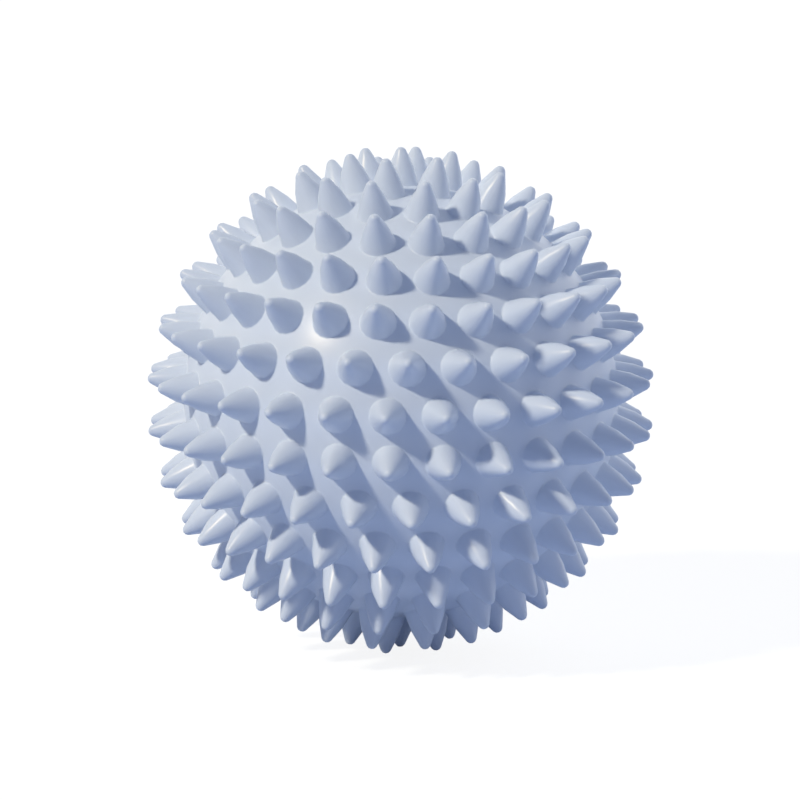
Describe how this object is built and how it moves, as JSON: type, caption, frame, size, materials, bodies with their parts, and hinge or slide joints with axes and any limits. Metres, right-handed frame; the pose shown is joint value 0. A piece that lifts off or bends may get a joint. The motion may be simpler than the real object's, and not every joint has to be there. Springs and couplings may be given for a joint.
{
  "type": "spiky massage ball",
  "caption": "Hollow soft vinyl massage ball covered in rings of blunt conical spikes, with an air valve whose plug pulls out; rolled under foot, hand or back.",
  "frame": {"origin": "centre of the ball", "axes": "+Z along the axis of the rings of spikes, from the lower half to the upper one; -Y is the front, away from the air valve, and the first spikes of all rings lie close to one meridian at the back left"},
  "size_m": [0.0893, 0.0894, 0.09],
  "materials": {
    "skin_vinyl": "satin soft vinyl, pale periwinkle blue",
    "bush_rubber": "matt, milky grey",
    "plug_vinyl": "satin, milky white"
  },
  "bodies": {
    "ball": {"upper_shell": "skin_vinyl", "lower_shell": "skin_vinyl", "valve_bush": "bush_rubber"},
    "plug": {"valve_plug": "plug_vinyl"}
  },
  "joints": [
    {"name": "plug_pull", "type": "slide", "parent": "ball", "child": "plug", "axis": [-0.6523, 0.6922, 0.309], "range_m": [0, 0.016]}
  ]
}
